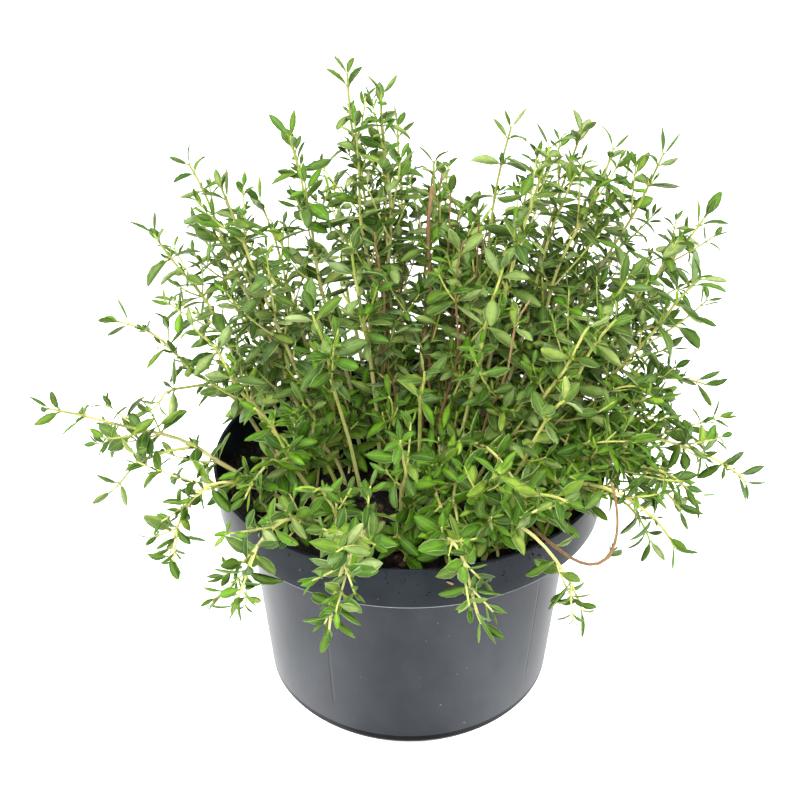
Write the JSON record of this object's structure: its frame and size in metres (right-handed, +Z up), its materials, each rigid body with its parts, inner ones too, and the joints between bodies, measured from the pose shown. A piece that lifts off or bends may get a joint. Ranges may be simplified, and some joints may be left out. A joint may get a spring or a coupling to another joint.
{
  "type": "potted thyme",
  "caption": "Potted thyme: leafy stems fanning out of the soil in a round plastic nursery pot, with some trailing over its rim.",
  "frame": {"origin": "centre of the pot's flat underside, on the surface that the pot stands on", "axes": "+Z up along the pot's axis; -Y towards the side that the picture shows; +X to the right in that view"},
  "size_m": [0.2287, 0.2024, 0.205],
  "materials": {
    "pot_plastic": "semi-gloss dark grey moulded plastic",
    "potting_soil": "matt, dark, coarse and fibrous",
    "green_thyme": "soft matt green leaf with paler edges and yellow-green stems",
    "woody_stem": "matt brown bark"
  },
  "bodies": {
    "root": {"back_stem_1": "green_thyme", "back_stem_10": "green_thyme", "back_stem_2": "green_thyme", "back_stem_3": "green_thyme", "back_stem_4": "green_thyme", "back_stem_5": "green_thyme", "back_stem_6": "green_thyme", "back_stem_7": "green_thyme", "back_stem_8": "green_thyme", "back_stem_9": "green_thyme", "centre_stem_1": "green_thyme", "centre_stem_10": "green_thyme", "centre_stem_11": "green_thyme", "centre_stem_12": "green_thyme", "centre_stem_2": "green_thyme", "centre_stem_3": "green_thyme", "centre_stem_4": "green_thyme", "centre_stem_5": "green_thyme", "centre_stem_6": "green_thyme", "centre_stem_7": "green_thyme", "centre_stem_8": "green_thyme", "centre_stem_9": "green_thyme", "front_stem_1": "green_thyme", "front_stem_2": "green_thyme", "front_stem_3": "green_thyme", "front_stem_4": "green_thyme", "left_stem_1": "green_thyme", "left_stem_2": "green_thyme", "left_stem_3": "green_thyme", "left_stem_4": "green_thyme", "left_stem_5": "green_thyme", "left_stem_6": "green_thyme", "left_stem_7": "green_thyme", "left_stem_8": "green_thyme", "left_stem_9": "green_thyme", "pot": "pot_plastic", "right_stem_1": "green_thyme", "right_stem_10": "green_thyme", "right_stem_11": "green_thyme", "right_stem_12": "green_thyme", "right_stem_13": "green_thyme", "right_stem_2": "green_thyme", "right_stem_3": "green_thyme", "right_stem_4": "green_thyme", "right_stem_5": "green_thyme", "right_stem_6": "green_thyme", "right_stem_7": "green_thyme", "right_stem_8": "green_thyme", "right_stem_9": "green_thyme", "soil": "potting_soil", "trailing_stem_1": "green_thyme", "trailing_stem_2": "green_thyme", "trailing_stem_3": "green_thyme", "trailing_stem_4": "green_thyme", "trailing_stem_5": "green_thyme", "woody_cut_stem": "woody_stem", "woody_loop_stem": "woody_stem"}
  },
  "joints": []
}
